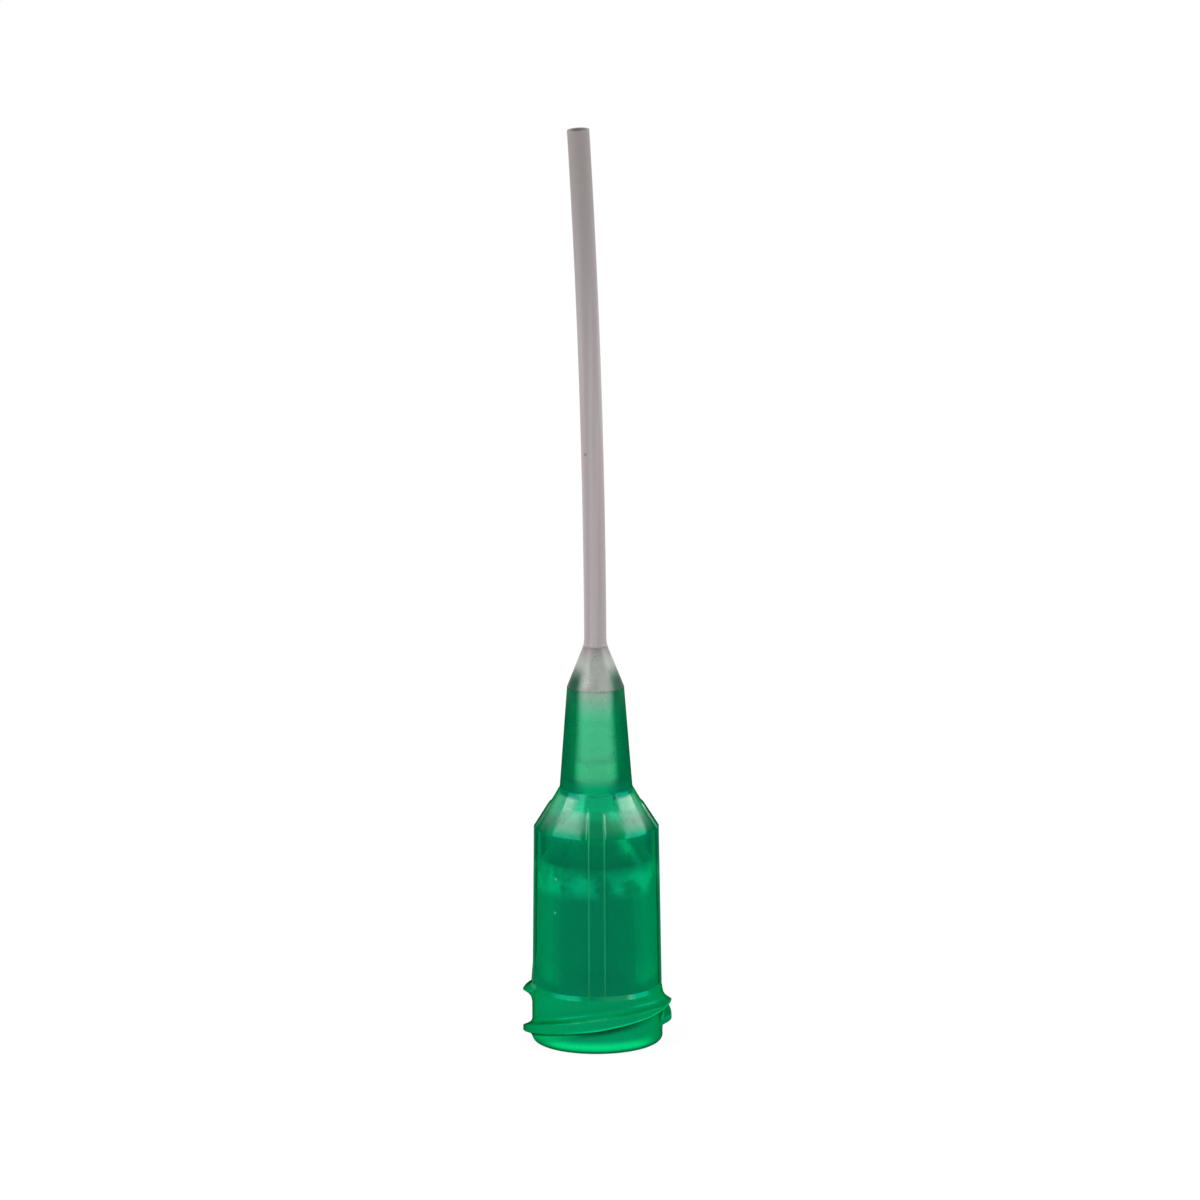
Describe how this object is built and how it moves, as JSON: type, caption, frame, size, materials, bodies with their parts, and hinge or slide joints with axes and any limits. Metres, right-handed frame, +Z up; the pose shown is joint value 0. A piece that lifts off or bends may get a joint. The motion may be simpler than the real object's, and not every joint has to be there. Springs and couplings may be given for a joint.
{
  "type": "dispensing needle tip",
  "caption": "Translucent moulded lock hub with a tapered socket and lock thread at its mouth, carrying a slim flexible plastic tube that lays down adhesive or other fluid from a syringe barrel.",
  "frame": {"origin": "centre of the hub's mouth, on the plane that the tip stands on", "axes": "+Z up the hub's axis towards the tube, front at -Y, the tube's free end bowed towards -X"},
  "size_m": [0.0074, 0.0074, 0.0466],
  "materials": {
    "green_plastic": "translucent green moulded polypropylene, smooth",
    "natural_plastic": "natural translucent flexible plastic, satin",
    "clear_bond": "natural translucent bond, smooth"
  },
  "bodies": {
    "root": {"lock_hub": "green_plastic", "needle_tube": "natural_plastic", "bond_cone": "clear_bond"}
  },
  "joints": []
}
